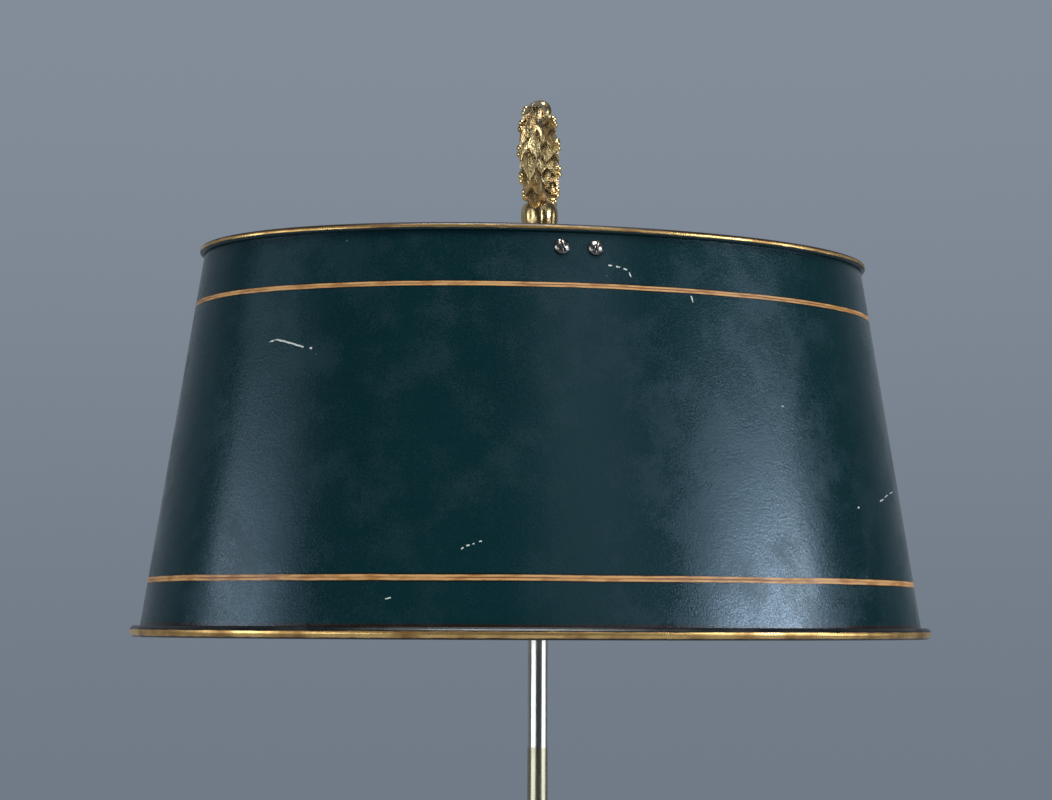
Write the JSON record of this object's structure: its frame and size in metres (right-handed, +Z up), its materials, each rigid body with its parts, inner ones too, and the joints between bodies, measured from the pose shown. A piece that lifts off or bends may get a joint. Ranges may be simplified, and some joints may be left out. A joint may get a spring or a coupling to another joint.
{
  "type": "bouillotte table lamp",
  "caption": "Table lamp with a dished gilt base, fluted stem, scroll arms with electric candles and an oval painted metal shade that slides and turns on a rod under a wreath handle.",
  "frame": {"origin": "centre of the felt's underside, on the table", "axes": "+Z up along the rod, X along the arms and the shade's long axis, -Y towards the viewer and the switch"},
  "size_m": [0.391, 0.264, 0.7198],
  "materials": {
    "felt": "dark green wool felt",
    "cover_steel": "blackened sheet steel",
    "iron": "raw cast iron",
    "steel": "nickel-plated steel, satin",
    "gilt": "gilt cast brass, polished, darker in the hollows",
    "shade_paint": "very dark blue-green satin paint, gilt stripes and rolled edges",
    "screw_steel": "bright steel",
    "brass": "plain turned brass",
    "candle": "ivory candle tube",
    "bakelite": "black moulded plastic",
    "cap_nickel": "nickel-plated screw cap",
    "bulb_glass": "clear glass",
    "stem_glass": "clear pressed glass",
    "filament": "yellow coated filament rods"
  },
  "bodies": {
    "stand": {"felt_pad": "felt", "cover_plate": "cover_steel", "ballast": "iron", "base_dish": "gilt", "cord_bush": "bakelite", "rod": "steel", "rod_washer": "screw_steel", "rod_nut": "screw_steel", "stem_foot": "gilt", "fluted_shaft": "gilt", "capital": "gilt", "hub": "gilt", "hub_lid": "gilt", "lock_ring": "gilt", "grub_screw": "screw_steel", "switch_case": "bakelite", "switch_nut": "brass", "handle_socket": "gilt", "wreath": "gilt", "arm_right": "gilt", "arm_left": "gilt", "arm_nut_right": "brass", "arm_nut_left": "brass", "nipple_right": "brass", "nipple_left": "brass", "drip_pan_right": "gilt", "drip_pan_left": "gilt", "candle_cup_right": "gilt", "candle_cup_left": "gilt", "cup_nut_right": "brass", "cup_nut_left": "brass", "candle_sleeve_right": "candle", "candle_sleeve_left": "candle", "lamp_holder_right": "bakelite", "lamp_holder_left": "bakelite", "holder_shell_right": "brass", "holder_shell_left": "brass", "holder_contact_right": "brass", "holder_contact_left": "brass", "bulb_cap_right": "cap_nickel", "bulb_cap_left": "cap_nickel", "bulb_glass_right": "bulb_glass", "bulb_glass_left": "bulb_glass", "bulb_stem_right": "stem_glass", "bulb_stem_left": "stem_glass", "filament_right": "filament", "filament_left": "filament"},
    "carrier": {"clamp_collar": "brass", "shade_bearing": "brass", "bearing_nut": "brass"},
    "thumb": {"thumb_screw": "brass"},
    "shade_group": {"shade": "shade_paint", "shade_screws": "screw_steel", "shade_nuts": "brass", "crossbar": "brass"},
    "knob": {"switch_knob": "gilt"}
  },
  "joints": [
    {"name": "shade_height", "type": "slide", "parent": "stand", "child": "carrier", "axis": [0, 0, 1], "range_m": [-0.2, 0]},
    {"name": "shade_swivel", "type": "hinge", "parent": "carrier", "child": "shade_group", "pos_m": [0, 0, 0.612], "axis": [0, 0, 1], "continuous": true},
    {"name": "thumb_screw_turn", "type": "hinge", "parent": "carrier", "child": "thumb", "pos_m": [0.02, 0, 0.6035], "axis": [1, 0, 0], "range_deg": [0, 360]},
    {"name": "switch_turn", "type": "hinge", "parent": "stand", "child": "knob", "pos_m": [0, -0.033, 0.1815], "axis": [0, -1, 0], "continuous": true}
  ]
}
